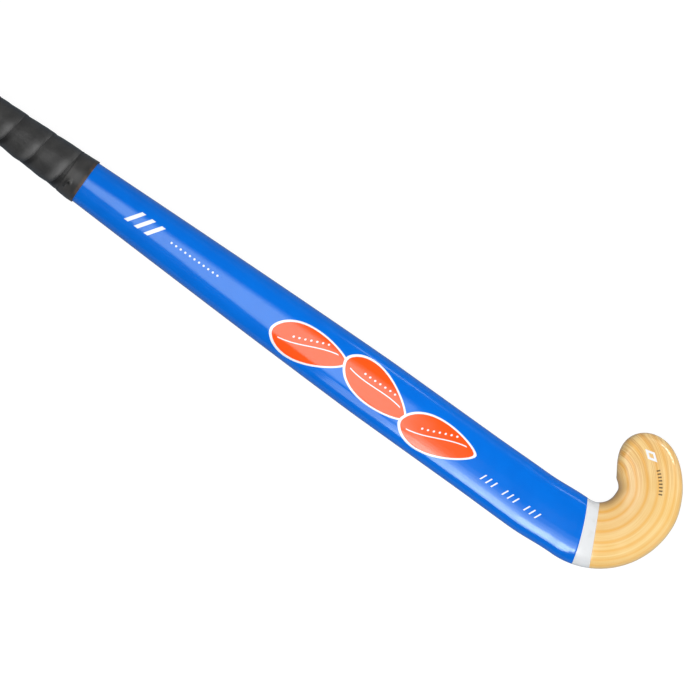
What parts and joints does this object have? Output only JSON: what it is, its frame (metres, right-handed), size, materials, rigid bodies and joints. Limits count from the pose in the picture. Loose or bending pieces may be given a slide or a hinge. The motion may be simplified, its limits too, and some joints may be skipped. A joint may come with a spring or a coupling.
{
  "type": "indoor hockey stick",
  "caption": "Indoor hockey stick with a laminated wooden hook head, a flat playing face, a rounded blue back, a V-spliced cane handle and a wound black grip.",
  "frame": {"origin": "under the middle of the stick's box, in the plane of the flat playing face on which it lies", "axes": "+X along the shaft from the butt to the base of the head, +Y across the shaft towards the toe, +Z out of the rounded back"},
  "size_m": [0.927, 0.1204, 0.0383],
  "materials": {
    "hardwood": "clear gloss lacquer over bent hardwood strips",
    "cane": "bare cane",
    "spring_rubber": "matt",
    "binding_thread": "waxed thread whipping",
    "glass_fibre": "resin-bonded glass fibre",
    "blue_lacquer": "semi-gloss lacquer",
    "white_lacquer": "semi-gloss lacquer",
    "underlay_foam": "soft foam",
    "grip_black": "soft cushioned grip tape",
    "finishing_tape_black": "satin",
    "cap_black": "fine matt"
  },
  "bodies": {
    "root": {"hook_lamination_1": "hardwood", "hook_lamination_2": "hardwood", "hook_lamination_3": "hardwood", "hook_lamination_4": "hardwood", "hook_lamination_5": "hardwood", "hook_lamination_6": "hardwood", "hook_lamination_7": "hardwood", "hook_lamination_8": "hardwood", "cane_slab_face": "cane", "cane_slab_middle": "cane", "cane_slab_back": "cane", "rubber_spring_face": "spring_rubber", "rubber_spring_back": "spring_rubber", "splice_binding": "binding_thread", "glass_fibre_sleeve": "glass_fibre", "blue_shaft_wrap": "blue_lacquer", "white_band": "white_lacquer", "grip_underlay": "underlay_foam", "grip_tape": "grip_black", "finishing_tape": "finishing_tape_black", "butt_cap": "cap_black"}
  },
  "joints": []
}
